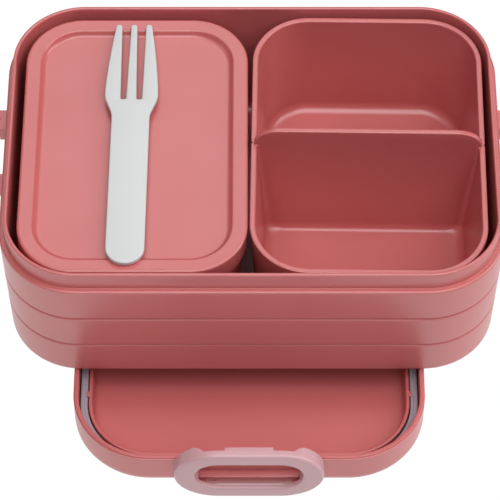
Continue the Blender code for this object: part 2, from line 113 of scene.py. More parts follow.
def rounded_loop(low, high, radii, z, steps=CORNER_STEPS):
    """A level rounded rectangle. The radii belong to the corners +X+Y, -X+Y, -X-Y, +X-Y."""
    corners = ((high[0], high[1]), (low[0], high[1]), (low[0], low[1]), (high[0], low[1]))
    signs = ((1, 1), (-1, 1), (-1, -1), (1, -1))
    points = []
    for quarter in range(4):
        radius = radii[quarter]
        centre_x = corners[quarter][0] - signs[quarter][0] * radius
        centre_y = corners[quarter][1] - signs[quarter][1] * radius
        arc = []
        for step in range(steps + 1):
            angle = (quarter + step / steps) * pi / 2
            arc.append(Vector((centre_x + radius * cos(angle), centre_y + radius * sin(angle), z)))
        turn = quarter * pi / 2
        along = Vector((-sin(turn), cos(turn), 0))
        onward = Vector((-cos(turn), -sin(turn), 0))
        points.append(arc[0] - along * SIDE_SUPPORT)
        points += arc
        points.append(arc[-1] + onward * SIDE_SUPPORT)
    return points


def inset_loops(half_x, half_y, radius, profile):
    """A level rounded rectangle for each (inset, z) of the profile."""
    loops = []
    for inset, z in profile:
        x, y = half_x - inset, half_y - inset
        loops.append(rounded_loop((-x, -y), (x, y), [radius - inset] * 4, z))
    return loops


def new_object(name, bm):
    bmesh.ops.recalc_face_normals(bm, faces=bm.faces)
    mesh = bpy.data.meshes.new(name)
    bm.to_mesh(mesh)
    bm.free()
    item = bpy.data.objects.new(name, mesh)
    bpy.context.collection.objects.link(item)
    return item


def bridge(name, loops, closed=False):
    """The loops joined in order: a solid with flat ends, or a ring if closed."""
    bm = bmesh.new()
    rings = [[bm.verts.new(point) for point in loop] for loop in loops]
    pairs = list(zip(rings, rings[1:] + rings[:1])) if closed else list(zip(rings, rings[1:]))
    for lower, upper in pairs:
        for i in range(len(lower)):
            j = (i + 1) % len(lower)
            bm.faces.new((lower[i], lower[j], upper[j], upper[i]))
    if not closed:
        bm.faces.new(reversed(rings[0]))
        bm.faces.new(rings[-1])
    return new_object(name, bm)


def rounded_prism(name, outline, axis, start, end, bevel, segments=3):
    """An outline carried along one axis, with its end edges and corners rounded."""
    bm = bmesh.new()
    sides = []
    for along in (start, end):
        ring = []
        for first, second in outline:
            point = [first, second]
            point.insert("XYZ".index(axis), along)
            ring.append(bm.verts.new(point))
        sides.append(ring)
    caps = [bm.faces.new(sides[0]), bm.faces.new(list(reversed(sides[1])))]
    for i in range(len(outline)):
        j = (i + 1) % len(outline)
        bm.faces.new((sides[0][i], sides[0][j], sides[1][j], sides[1][i]))
    bmesh.ops.recalc_face_normals(bm, faces=bm.faces)
    if bevel:
        edges = list({edge for cap in caps for edge in cap.edges})
        bmesh.ops.bevel(bm, geom=edges, offset=bevel, segments=segments, profile=0.5, affect="EDGES",
                        clamp_overlap=True)
    return new_object(name, bm)


def rounded_box(name, low, high, bevel, segments=3):
    bm = bmesh.new()
    bmesh.ops.create_cube(bm, size=1)
    for vert in bm.verts:
        vert.co = Vector([low[i] if vert.co[i] < 0 else high[i] for i in range(3)])
    bmesh.ops.recalc_face_normals(bm, faces=bm.faces)
    bmesh.ops.bevel(bm, geom=list(bm.edges), offset=bevel, segments=segments, profile=0.5, affect="EDGES")
    return new_object(name, bm)


def circle(centre, radius, steps=32):
    turns = [(step + 0.5) / steps * 2 * pi for step in range(steps)]
    return [(centre[0] + radius * cos(turn), centre[1] + radius * sin(turn)) for turn in turns]


def quarter_round(radius, steps=5):
    """(inset, depth) of a rounded edge, from the face to the side."""
    turns = [pi / 2 * step / steps for step in range(steps + 1)]
    return [(radius * (1 - sin(turn)), radius * (1 - cos(turn))) for turn in turns]


def combine(target, tool, operation):
    """Joins the tool to the target or cuts it away, and removes the tool."""
    modifier = target.modifiers.new(operation.lower(), "BOOLEAN")
    modifier.operation = operation
    modifier.solver = "EXACT"
    modifier.object = tool
    evaluated = target.evaluated_get(bpy.context.evaluated_depsgraph_get())
    result = bpy.data.meshes.new_from_object(evaluated)
    target.modifiers.clear()
    old = target.data
    target.data = result
    bpy.data.meshes.remove(old)
    bpy.data.objects.remove(tool)


def place(item, slot, node, body, location, turn=0, sharp=38):
    """Puts the finished mesh in the frame in place of its CAD node, riding its body."""
    item.data.transform(Matrix.Translation(Vector(location)) @ Matrix.Rotation(turn, 4, "Z"))
    item.data.materials.clear()
    item.data.materials.append(FINISHES[slot])
    item.data.shade_smooth()
    item.data.set_sharp_from_angle(angle=radians(sharp))
    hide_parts(node)
    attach(item, body)
    return item


# ---- materials -------------------------------------------------------------------------

PLASTIC_IOR = 1.49
SPECULAR_LEVEL = 1.0
TONE_SCALE, TONE_DETAIL = 18, 2
GRAIN_DETAIL = 3
GLOSS_SCALE, GLOSS_DETAIL = 60, 2
NOISE_LOW, NOISE_HIGH = 0.3, 0.7        # most of the noise lies between these
GRAIN_DEPTH = 0.00002
GLOSS_CHANGE = 0.02                     # how far the roughness goes up and down


def noise(material, coordinates, scale, detail):
    """The output of a noise texture that follows the object's own coordinates."""
    node = material.node_tree.nodes.new("ShaderNodeTexNoise")
    node.inputs["Scale"].default_value = scale
    node.inputs["Detail"].default_value = detail
    material.node_tree.links.new(coordinates, node.inputs["Vector"])
    return node.outputs["Fac"]


def moulded_plastic(name, color, deep, roughness, texture, grain):
    """Moulded plastic: slow change of tone, fine surface texture and slightly uneven gloss."""
    material = bpy.data.materials.new(name)
    material.use_nodes = True
    nodes, links = material.node_tree.nodes, material.node_tree.links
    shader = nodes["Principled BSDF"]
    shader.inputs["Metallic"].default_value = 0
    shader.inputs["IOR"].default_value = PLASTIC_IOR
    shader.inputs["Specular IOR Level"].default_value = SPECULAR_LEVEL
    coordinates = nodes.new("ShaderNodeTexCoord").outputs["Object"]

    tone = noise(material, coordinates, TONE_SCALE, TONE_DETAIL)
    ramp = nodes.new("ShaderNodeValToRGB")
    ramp.color_ramp.elements[0].position = NOISE_LOW
    ramp.color_ramp.elements[0].color = (*deep, 1)
    ramp.color_ramp.elements[1].position = NOISE_HIGH
    ramp.color_ramp.elements[1].color = (*color, 1)
    links.new(tone, ramp.inputs["Fac"])
    links.new(ramp.outputs["Color"], shader.inputs["Base Color"])

    fine = noise(material, coordinates, grain, GRAIN_DETAIL)
    bump = nodes.new("ShaderNodeBump")
    bump.inputs["Strength"].default_value = texture
    bump.inputs["Distance"].default_value = GRAIN_DEPTH
    links.new(fine, bump.inputs["Height"])
    links.new(bump.outputs["Normal"], shader.inputs["Normal"])

    gloss = noise(material, coordinates, GLOSS_SCALE, GLOSS_DETAIL)
    spread = nodes.new("ShaderNodeMapRange")
    spread.inputs["From Min"].default_value = NOISE_LOW
    spread.inputs["From Max"].default_value = NOISE_HIGH
    spread.inputs["To Min"].default_value = roughness - GLOSS_CHANGE
    spread.inputs["To Max"].default_value = roughness + GLOSS_CHANGE
    links.new(gloss, spread.inputs["Value"])
    links.new(spread.outputs["Result"], shader.inputs["Roughness"])
    return material


BODY_COLOR, BODY_DEEP = (0.565, 0.134, 0.132), (0.545, 0.127, 0.125)
CLIP_COLOR, CLIP_DEEP = (0.58, 0.33, 0.355), (0.56, 0.315, 0.34)
FORK_COLOR, FORK_DEEP = (0.60, 0.61, 0.605), (0.585, 0.595, 0.59)
SEAL_COLOR, SEAL_DEEP = (0.44, 0.39, 0.45), (0.40, 0.355, 0.41)

# For each slot: colour, deeper colour, roughness, strength of the grain and its scale
FINISHES = {
    "body_plastic": moulded_plastic("pink_plastic", BODY_COLOR, BODY_DEEP, 0.32, 0.10, 1400),
    "clip_plastic": moulded_plastic("pale_pink_plastic", CLIP_COLOR, CLIP_DEEP, 0.36, 0.12, 2600),
    "fork_plastic": moulded_plastic("white_plastic", FORK_COLOR, FORK_DEEP, 0.38, 0.10, 2200),
    "seal_rubber": moulded_plastic("grey_rubber", SEAL_COLOR, SEAL_DEEP, 0.55, 0.25, 1800),
}


# ---- the outer box ---------------------------------------------------------------------

NECK_INSET = 1.95 * MM
NECK_WALL = 1.3 * MM
BODY_WALL = 3.4 * MM
BOX_FLOOR = 3.6 * MM
BOX_FLOOR_FILLET = 4 * MM
BOX_FLOOR_FLAT = 8 * MM         # how far in the last ring of the floor lies
BOX_RECESS = 1.6 * MM           # depth of the recess under the box, and run of its slope
BOX_RECESS_FLAT = 3 * MM
BOX_RECESS_ROUND = 0.6 * MM
BOX_FOOT_WIDTH = 6 * MM
BOX_FOOT_ROUND = 1.3 * MM
BOX_FOOT_INNER_ROUND = 0.5 * MM
SHOULDER_ROUND = 0.8 * MM
NECK_ROOT_ROUND = 0.25 * MM
NECK_RIM_ROUND = 0.6 * MM
GROOVE = 0.6 * MM
GROOVE_LOW_ROUND = 0.45 * MM    # the lower shoulder is the softer one
GROOVE_BOTTOM_ROUND = 0.08 * MM
GROOVE_TOP_ROUND = 0.1 * MM
PRONG_TOP = SHOULDER_Z - 1.3 * MM
PRONG_HEIGHT = 3.9 * MM
PRONG_INNER = 9.7 * MM
PRONG_OUTER = 18 * MM
PRONG_ROUND = 3.8 * MM
PRONG_ARC_STEPS = 8
PRONG_EDGE = 0.35 * MM
PRONG_ROOT = 1.2 * MM           # how far prongs and webs are sunk into the wall
WEB_REACH = 2.3 * MM
WEB_WIDTH = 1.8 * MM
WEB_HEIGHT = 6 * MM
WEB_EDGE = 0.3 * MM
DIMPLE_OUT = 2.7 * MM           # its place on the prong's top, from the wall and the middle
DIMPLE_ALONG = 14.2 * MM
DIMPLE_STEPS = 24
DIMPLE_LEVELS = ((0.55 * MM, -0.5 * MM), (0.85 * MM, -0.3 * MM), (1 * MM, 0.3 * MM))    # radius, z


def body_inset(z):
    return DRAFT * (1 - z / SHOULDER_Z)


def prong(side, end):
    """A catch prong with a round lower outer corner and soft edges."""
    top, bottom = PRONG_TOP, PRONG_TOP - PRONG_HEIGHT
    outline = [(PRONG_INNER, bottom)]
    for step in range(PRONG_ARC_STEPS + 1):
        angle = (step / PRONG_ARC_STEPS - 1) * pi / 2
        outline.append((PRONG_OUTER - PRONG_ROUND + PRONG_ROUND * cos(angle),
                        bottom + PRONG_ROUND + PRONG_ROUND * sin(angle)))
    outline += [(PRONG_OUTER, top), (PRONG_INNER, top)]
    outline = [(end * along, z) for along, z in outline]
    near, far = side * (LENGTH / 2 - PRONG_ROOT), side * (LENGTH / 2 + PRONG_REACH)
    return rounded_prism("prong", outline, "X", near, far, PRONG_EDGE)


def web(side, end):
    """The small web under a prong's inner end."""
    inner, outer = end * PRONG_INNER, end * (PRONG_INNER + WEB_WIDTH)
    near, far = side * (LENGTH / 2 - PRONG_ROOT), side * (LENGTH / 2 + WEB_REACH)
    low = (min(near, far), min(inner, outer), PRONG_TOP - WEB_HEIGHT)
    high = (max(near, far), max(inner, outer), PRONG_TOP - PRONG_HEIGHT / 2)
    return rounded_box("web", low, high, WEB_EDGE)


def dimple(side, end):
    """The shallow round mark on top of a prong."""
    centre = (side * (LENGTH / 2 + DIMPLE_OUT), end * DIMPLE_ALONG)
    loops = []
    for radius, z in DIMPLE_LEVELS:
        loops.append([Vector((x, y, PRONG_TOP + z)) for x, y in circle(centre, radius, DIMPLE_STEPS)])
    return bridge("dimple", loops)


def make_lunch_box():
    """The outer box: foot, three bands, neck, open inside, and its four prongs."""
    foot = DRAFT
    points = [
        (foot + BOX_FOOT_WIDTH + BOX_RECESS + BOX_RECESS_FLAT, BOX_RECESS, 0),
        (foot + BOX_FOOT_WIDTH + BOX_RECESS, BOX_RECESS, BOX_RECESS_ROUND),
        (foot + BOX_FOOT_WIDTH, 0, BOX_FOOT_INNER_ROUND),
        (foot, 0, BOX_FOOT_ROUND),
    ]
    for band in (1, 2):
        z = band * BAND_HEIGHT
        points += [
            (body_inset(z), z - GROOVE, GROOVE_LOW_ROUND),
            (body_inset(z) + GROOVE, z + GROOVE / 3, GROOVE_BOTTOM_ROUND),
            (body_inset(z), z + GROOVE, GROOVE_TOP_ROUND),
        ]
    rim_inner = NECK_INSET + NECK_WALL
    floor_inner = DRAFT + BODY_WALL
    points += [
        (0, SHOULDER_Z, SHOULDER_ROUND),
        (NECK_INSET, SHOULDER_Z, NECK_ROOT_ROUND),
        (NECK_INSET, RIM_Z, NECK_RIM_ROUND),
        (rim_inner, RIM_Z, NECK_RIM_ROUND),
        (floor_inner, BOX_FLOOR, BOX_FLOOR_FILLET),
        (floor_inner + BOX_FLOOR_FLAT, BOX_FLOOR, 0),
    ]
    item = bridge("lunch_box_shell", inset_loops(LENGTH / 2, WIDTH / 2, CORNER_RADIUS, soften(points)))
    for side in (-1, 1):
        for end in (-1, 1):
            combine(item, prong(side, end), "UNION")
            combine(item, web(side, end), "UNION")
            combine(item, dimple(side, end), "DIFFERENCE")
    return place(item, "body_plastic", "lunch_box", "box", BOX_PLACE)


# ---- the lid and its seal --------------------------------------------------------------

LID_WALL = 1.75 * MM
LID_PANEL = 2 * MM
LID_ROUND = 3.9 * MM            # outer edge of the lid's top, which lies on the surface here
LID_FLAT = 8 * MM
LID_STEP = 0.45 * MM            # the rim's outer step, in from the wall
LID_STEP_LOW, LID_STEP_HIGH = 0.85 * MM, 0.80 * MM      # its two corners, below the rim
LID_STEP_EDGE = 0.12 * MM
LID_STEP_ROOT = 0.1 * MM
LID_RIM_OUTER_EDGE = 0.25 * MM
LID_EDGE = 0.3 * MM
CHANNEL_INNER = 5 * MM
CHANNEL_FLOOR = 2.6 * MM
RIB_TOP = 9.2 * MM
RIB_WIDTH = 1.2 * MM
RIB_EDGE = 0.4 * MM
RIB_SPREAD = 0.7 * MM           # how much wider the rib is at its foot
RIB_FILLET = 1.3 * MM
PANEL_FLAT = 9 * MM
AXIS_OUT = 3.2 * MM
AXIS_Z = 4 * MM
PIN_RADIUS = 1.3 * MM
PIN_START = 14.5 * MM
PIN_END = 20.5 * MM
PIN_EDGE = 0.2 * MM
BRACKET_HALF = 18.5 * MM
BRACKET_REACH = 2.8 * MM
BRACKET_ROOT = 0.8 * MM
BRACKET_LOW = 2.7 * MM
BRACKET_TOP = 7.5 * MM
BRACKET_EDGE = 0.35 * MM
MARK_ALONG = 11.6 * MM          # ejector marks on the bracket's face
MARK_Z = 5.6 * MM
MARK_RADIUS = 0.6 * MM
MARK_DEPTH = 0.25 * MM
MARK_STEPS = 20
NUB_ALONG = 55 * MM             # seal keepers on the rib, from the middle of the lid's length
NUB_HALF = 1.1 * MM
NUB_REACH = 0.7 * MM
NUB_HEIGHT = 0.8 * MM
NUB_BELOW_RIB = 0.1 * MM
NUB_EDGE = 0.2 * MM
LID_LENGTH = lid_high[1] - lid_low[1] - 2 * PIN_OVERHANG
LID_WIDTH = lid_high[0] - lid_low[0]


def make_lid():
    """The upturned lid: outer wall, seal channel, rib, brackets with pins, and seal keepers."""
    rib_inner = CHANNEL_INNER + RIB_WIDTH
    points = [
        (LID_FLAT, 0, 0),
        (0, 0, LID_ROUND),
        (0, LID_HEIGHT - LID_STEP_LOW, LID_STEP_EDGE),
        (LID_STEP, LID_HEIGHT - LID_STEP_HIGH, LID_STEP_ROOT),
        (LID_STEP, LID_HEIGHT, LID_RIM_OUTER_EDGE),
        (LID_WALL, LID_HEIGHT, LID_EDGE),
        (LID_WALL, CHANNEL_FLOOR, LID_EDGE),
        (CHANNEL_INNER, CHANNEL_FLOOR, LID_EDGE),
        (CHANNEL_INNER, RIB_TOP, RIB_EDGE),
        (rib_inner, RIB_TOP, RIB_EDGE),
        (rib_inner + RIB_SPREAD, LID_PANEL, RIB_FILLET),
        (rib_inner + PANEL_FLAT, LID_PANEL, 0),
    ]
    item = bridge("lid_moulding", inset_loops(LID_WIDTH / 2, LID_LENGTH / 2, CORNER_RADIUS, soften(points)))
    for end in (-1, 1):
        wall = end * LID_LENGTH / 2
        near, far = wall - end * BRACKET_ROOT, wall + end * BRACKET_REACH
        bracket = rounded_box("bracket", (-BRACKET_HALF, min(near, far), BRACKET_LOW),
                              (BRACKET_HALF, max(near, far), BRACKET_TOP), BRACKET_EDGE)
        combine(item, bracket, "UNION")
        for side in (-1, 1):
            pin = rounded_prism("pin", circle((wall + end * AXIS_OUT, AXIS_Z), PIN_RADIUS), "X",
                                side * PIN_START, side * PIN_END, PIN_EDGE, segments=2)
            combine(item, pin, "UNION")
            mark = rounded_prism("mark", circle((side * MARK_ALONG, MARK_Z), MARK_RADIUS, MARK_STEPS),
                                 "Y", far - end * MARK_DEPTH, far + end * 2 * MARK_DEPTH, 0)
            combine(item, mark, "DIFFERENCE")
    for side in (-1, 1):
        root = side * (LID_WIDTH / 2 - CHANNEL_INNER - NUB_REACH / 2)
        tip = side * (LID_WIDTH / 2 - CHANNEL_INNER + NUB_REACH)
        for along in (-NUB_ALONG, NUB_ALONG):
            low = (min(root, tip), along - NUB_HALF, RIB_TOP - NUB_HEIGHT)
            high = (max(root, tip), along + NUB_HALF, RIB_TOP - NUB_BELOW_RIB)
            combine(item, rounded_box("nub", low, high, NUB_EDGE, segments=2), "UNION")
    return place(item, "body_plastic", "lid_shell", "lid", LID_PLACE)


SEAL_OUTER = 2.1 * MM           # insets of its two walls from the lid's outside
SEAL_INNER = 4.65 * MM
SEAL_ROUND = 0.6 * MM
SEAL_EDGE = 0.1 * MM
SEAL_GROOVE = 0.35 * MM         # depth and half width of the groove along its top


def make_seal():
    """The soft ring in the lid's channel, with a fine groove along its top."""
    top, bottom = seal_high[2], seal_low[2]
    groove = (SEAL_OUTER + SEAL_INNER) / 2
    points = [
        (SEAL_OUTER, bottom, SEAL_EDGE),
        (SEAL_OUTER, top, SEAL_ROUND),
        (groove - SEAL_GROOVE, top, SEAL_EDGE),
        (groove, top - SEAL_GROOVE, SEAL_EDGE),
        (groove + SEAL_GROOVE, top, SEAL_EDGE),
        (SEAL_INNER, top, SEAL_ROUND),
        (SEAL_INNER, bottom, SEAL_EDGE),
    ]
    loops = inset_loops(LID_WIDTH / 2, LID_LENGTH / 2, CORNER_RADIUS, soften(points, closed=True))
    return place(bridge("seal_ring", loops, closed=True), "seal_rubber", "lid_seal", "lid", LID_PLACE)


# ---- the clips -------------------------------------------------------------------------

RING_HALF_WIDTH = (clip_high[0] - clip_low[0]) / 2
RING_HALF_HEIGHT = (clip_high[2] - clip_low[2]) / 2
RING_END = 15 * MM
RING_CENTRE = (clip_high[2] + clip_low[2]) / 2 - AXIS_Z
HOLE_HALF_WIDTH = 18.15 * MM
HOLE_HALF_HEIGHT = 7.2 * MM
HOLE_END = 8 * MM
HOLE_LIP = 0.8 * MM             # rounding of the hole's front edge
RING_FRONT = 3.35 * MM
RING_FRONT_ROUND = 1 * MM
RING_BACK_ROUND = 0.5 * MM
RING_SUPPORT = 0.3 * MM         # from a rounding to the next ring on the flat side
RING_CAP = 3 * MM               # inset of the ring's front face loop
OVAL_SHARES = (0.96, 0.5, 0, -0.5, -0.96)       # points along a straight, as shares of its half
BOSS_RADIUS = 2.9 * MM
LOW_BAR_BACK = -1.65 * MM
TOP_BAR_BACK = -0.65 * MM
BLOCK_BACK = 0.55 * MM
RING_BACK = 2.05 * MM
BLOCK_HALF = 8.1 * MM
EAR_FOOT = 15 * MM
EAR_HEAD = 17.6 * MM
EAR_CREST = 20 * MM
BOSS_INNER = 18.85 * MM
PIN_HOLE_RADIUS = 1.6 * MM
PIN_HOLE_END = 20.9 * MM
LOW_POCKET_TOP = 5.8 * MM       # above the axis
POCKET_EDGE = 0.3 * MM
CLIP_EDGE = 0.22 * MM           # rounding of the edges that the cuts leave
CLIP_EDGE_ANGLE = radians(40)
HEEL_STEPS = 24
CUT_PAST = 1 * MM               # how far a cutting solid goes past what it cuts


def upright_oval(half_width, half_height, end, inset, y, steps=48):
    """An upright oval at a depth y, with elliptical ends, around the ring's centre."""
    points = []
    straight = half_width - end
    for side in (1, -1):
        for step in range(steps + 1):
            angle = pi * (step / steps - 0.5)
            x = side * (straight + (end - inset) * cos(angle))
            points.append(Vector((x, y, RING_CENTRE + side * (half_height - inset) * sin(angle))))
        for share in OVAL_SHARES:
            points.append(Vector((side * straight * share, y, RING_CENTRE + side * (half_height - inset))))
    return points


def ring_solid(name):
    """The oval ring, full depth all round, with its hole and their rounded edges."""
    front = [(inset, -RING_FRONT + depth) for inset, depth in quarter_round(RING_FRONT_ROUND)]
    back = [(inset, RING_BACK - depth) for inset, depth in reversed(quarter_round(RING_BACK_ROUND))]
    side = [(0, -RING_FRONT + RING_FRONT_ROUND + RING_SUPPORT),
            (0, RING_BACK - RING_BACK_ROUND - RING_SUPPORT)]
    profile = [(RING_CAP, -RING_FRONT)] + front + side + back
    ring = bridge(name, [upright_oval(RING_HALF_WIDTH, RING_HALF_HEIGHT, RING_END, inset, y)
                         for inset, y in profile])
    lip = [(-inset, -RING_FRONT + depth) for inset, depth in quarter_round(HOLE_LIP)]
    bore = [(0, -RING_FRONT + HOLE_LIP + RING_SUPPORT), (0, RING_BACK + CUT_PAST)]
    through = [(-HOLE_LIP, -RING_FRONT - CUT_PAST)] + lip + bore
    hole = bridge("hole", [upright_oval(HOLE_HALF_WIDTH, HOLE_HALF_HEIGHT, HOLE_END, inset, y)
                           for inset, y in through])
    combine(ring, hole, "DIFFERENCE")
    return ring


def ear_curve(steps=12):
    """The rounded back of the ring beside the top bar, from the bar out to the ring's end."""
    foot, crest = Vector((EAR_FOOT, TOP_BAR_BACK)), Vector((EAR_CREST, RING_BACK))
    head = Vector((EAR_HEAD, RING_BACK))
    curve = []
    for step in range(steps + 1):
        t = step / steps
        curve.append(tuple(foot * (1 - t) ** 2 + head * 2 * t * (1 - t) + crest * t * t))
    return curve


def make_clip(name, node, body, location, turn):
    """The ring with its hinge axis along X through the origin, facing -Y."""
    ring = ring_solid(name)
    beyond = RING_BACK + CUT_PAST
    low = RING_CENTRE - RING_HALF_HEIGHT - CUT_PAST
    high = RING_CENTRE + RING_HALF_HEIGHT + CUT_PAST
    low_pocket = rounded_box("low_pocket", (-BOSS_INNER, LOW_BAR_BACK, low),
                             (BOSS_INNER, beyond, LOW_POCKET_TOP), POCKET_EDGE)
    combine(ring, low_pocket, "DIFFERENCE")
    right = [(BLOCK_HALF, BLOCK_BACK), (BLOCK_HALF, TOP_BAR_BACK)] + ear_curve()
    right.append((EAR_CREST, beyond))
    outline = right + [(-x, y) for x, y in reversed(right)]
    combine(ring, rounded_prism("top_pocket", outline, "Z", RING_CENTRE, high, 0), "DIFFERENCE")
    heel = [(LOW_BAR_BACK, low), (beyond + BOSS_RADIUS, low), (beyond + BOSS_RADIUS, 0)]
    heel_end = pi - asin(sqrt(BOSS_RADIUS ** 2 - LOW_BAR_BACK ** 2) / BOSS_RADIUS)
    for step in range(HEEL_STEPS + 1):
        angle = -heel_end * step / HEEL_STEPS
        heel.append((BOSS_RADIUS * cos(angle), BOSS_RADIUS * sin(angle)))
    half = RING_HALF_WIDTH + CUT_PAST
    combine(ring, rounded_prism("heel", heel, "X", -half, half, 0), "DIFFERENCE")
    for side in (-1, 1):
        hole = rounded_prism("pin_hole", circle((0, 0), PIN_HOLE_RADIUS), "X",
                             side * (BOSS_INNER - CUT_PAST), side * PIN_HOLE_END, 0)
        combine(ring, hole, "DIFFERENCE")
    soften_edges(ring, CLIP_EDGE)
    return place(ring, "clip_plastic", node, body, location, turn, sharp=42)


def soften_edges(item, width):
    """Rounds the sharp edges that the cuts left."""
    modifier = item.modifiers.new("soft_edges", "BEVEL")
    modifier.width = width
    modifier.segments = 2
    modifier.limit_method = "ANGLE"
    modifier.angle_limit = CLIP_EDGE_ANGLE
    modifier.use_clamp_overlap = True
    evaluated = item.evaluated_get(bpy.context.evaluated_depsgraph_get())
    result = bpy.data.meshes.new_from_object(evaluated)
    item.modifiers.clear()
    item.data = result


def make_clips():
    axis_y = LID_LENGTH / 2 + AXIS_OUT
    front = LID_PLACE + Vector((0, -axis_y, AXIS_Z))
    rear = LID_PLACE + Vector((0, axis_y, AXIS_Z))
    make_clip("front_ring_clip", "front_clip", "front_clip", front, 0)
    make_clip("rear_ring_clip", "rear_clip", "rear_clip", rear, pi)


# ---- the tray --------------------------------------------------------------------------

INSERT_LENGTH, INSERT_DEPTH = 79.5 * MM, 110.4 * MM
INSERT_TURN = radians(-0.9)
INSERT_RADIUS = 20 * MM
INSERT_WALL = 2 * MM
RIM_ROUND = 0.5 * MM            # rounding of the tray's rim and of the divider's top
INSERT_HEIGHT = 48.3 * MM
INSERT_FLOOR = 4.1 * MM
INSERT_LEAN = 2.5 * MM          # how far a wall leans in from the rim down to the foot
INSERT_FOOT_ROUND = 3.6 * MM
INSERT_FOOT_TUCK = 0.5 * MM     # what the rounded foot goes in further
INSERT_FOOT_INNER = 5.6 * MM    # from the side to the recess underneath
INSERT_RECESS = 2.4 * MM
INSERT_RECESS_SLOPE = 1 * MM
INSERT_RECESS_FLAT = 9 * MM
INSERT_RECESS_ROUND = 0.5 * MM
INSERT_FOOT_INNER_ROUND = 0.4 * MM
COLLAR_INSET = 0.1 * MM         # where the lean ends, below the rim
COLLAR_HEIGHT = 2 * MM
COLLAR_ROUND = 0.2 * MM
INSERT_TOP_FLAT = 3 * MM
INSERT_DRAFT = 2.9 * MM
INSERT_FILLET = 3.5 * MM
FILLET_RINGS = 8
RIM_RINGS = 4
RIM_SUPPORTS = ((0.02 * MM, 1.0 * MM), (0, 0.7 * MM))   # inset and drop of the rings below the rim
SUPPORT_SHARE = 0.99            # of the draft, in the ring above the floor's fillet
SUPPORT_RISE = 0.4 * MM
RIM_CLEAR = 0.3 * MM            # how far past the rim's rounding the space is cut
RIM_CLEAR_RISE = 0.05 * MM
NOTCH_HALF = 0.9 * MM           # the notch in the wall at each end of the divider
NOTCH_DEPTH = 0.6 * MM
NOTCH_LENGTH = 12 * MM
DIVIDER_Y = -1 * MM
DIVIDER_TOP = insert_high[2] - insert_low[2]
DIVIDER_HALF = 0.95 * MM
DIVIDER_DRAFT = 1.7 * MM
DIVIDER_FILLET_SHARE = 0.6      # its foot's fillet is narrower than the one at the walls
DIVIDER_ROUND = 9 * MM
DIVIDER_ROUND_STEPS = 16
DIVIDER_CORNER = 1 * MM
INSERT_PLACE = Vector((middle("bento_insert").x, middle("bento_insert").y, insert_low[2]))


def divider_plate(half_x):
    """The divider with soft top edges; its top comes down to the rim in a curve at each end."""
    inner_x = half_x - INSERT_WALL / 2
    rise = DIVIDER_TOP - INSERT_HEIGHT
    foot = inner_x - INSERT_LEAN
    front = [(-DIVIDER_HALF + depth, inset) for inset, depth in quarter_round(RIM_ROUND)]
    back = [(-y, inset) for y, inset in reversed(front)]
    loops = []
    for y, inset in front + back:
        outline = [(-foot, INSERT_FLOOR), (foot, INSERT_FLOOR)]
        for part in range(DIVIDER_ROUND_STEPS + 1):
            turn = part / DIVIDER_ROUND_STEPS * pi / 2
            outline.append((inner_x - DIVIDER_ROUND + (DIVIDER_ROUND - inset) * cos(turn),
                            INSERT_HEIGHT + (rise - inset) * sin(turn)))
        outline += [(-x, z) for x, z in reversed(outline[2:])]
        loops.append([Vector((x, DIVIDER_Y + y, z)) for x, z in outline])
    return bridge("divider", loops)


def compartment(side, half_x, half_y):
    """The space of one compartment, with floor fillets and a soft edge at the rim."""
    levels = []
    for grow, rise in quarter_round(INSERT_FILLET, FILLET_RINGS):
        thicker = DIVIDER_DRAFT + grow * DIVIDER_FILLET_SHARE
        levels.append((INSERT_DRAFT + grow, thicker, INSERT_FLOOR + rise))
    levels.append((INSERT_DRAFT * SUPPORT_SHARE, DIVIDER_DRAFT * SUPPORT_SHARE,
                   INSERT_FLOOR + INSERT_FILLET + SUPPORT_RISE))
    for inset, drop in RIM_SUPPORTS:
        levels.append((inset, 0, INSERT_HEIGHT - drop))
    for outset, drop in reversed(quarter_round(RIM_ROUND, RIM_RINGS)):
        levels.append((-outset, 0, INSERT_HEIGHT - drop))
    levels.append((-RIM_ROUND - RIM_CLEAR, 0, INSERT_HEIGHT + RIM_CLEAR_RISE))
    levels.append((-RIM_ROUND - RIM_CLEAR, 0, DIVIDER_TOP + 2 * CUT_PAST))
    loops = []
    for inset, thicker, z in levels:
        x = half_x - INSERT_WALL - inset
        far = half_y - INSERT_WALL - inset
        near = DIVIDER_Y + side * (DIVIDER_HALF + thicker)
        big = INSERT_RADIUS - INSERT_WALL - inset
        small = DIVIDER_CORNER + max(0, thicker)
        if side > 0:
            loops.append(rounded_loop((-x, near), (x, far), (big, big, small, small), z))
        else:
            loops.append(rounded_loop((-x, -far), (x, near), (small, small, big, big), z))
    return bridge("compartment", loops)


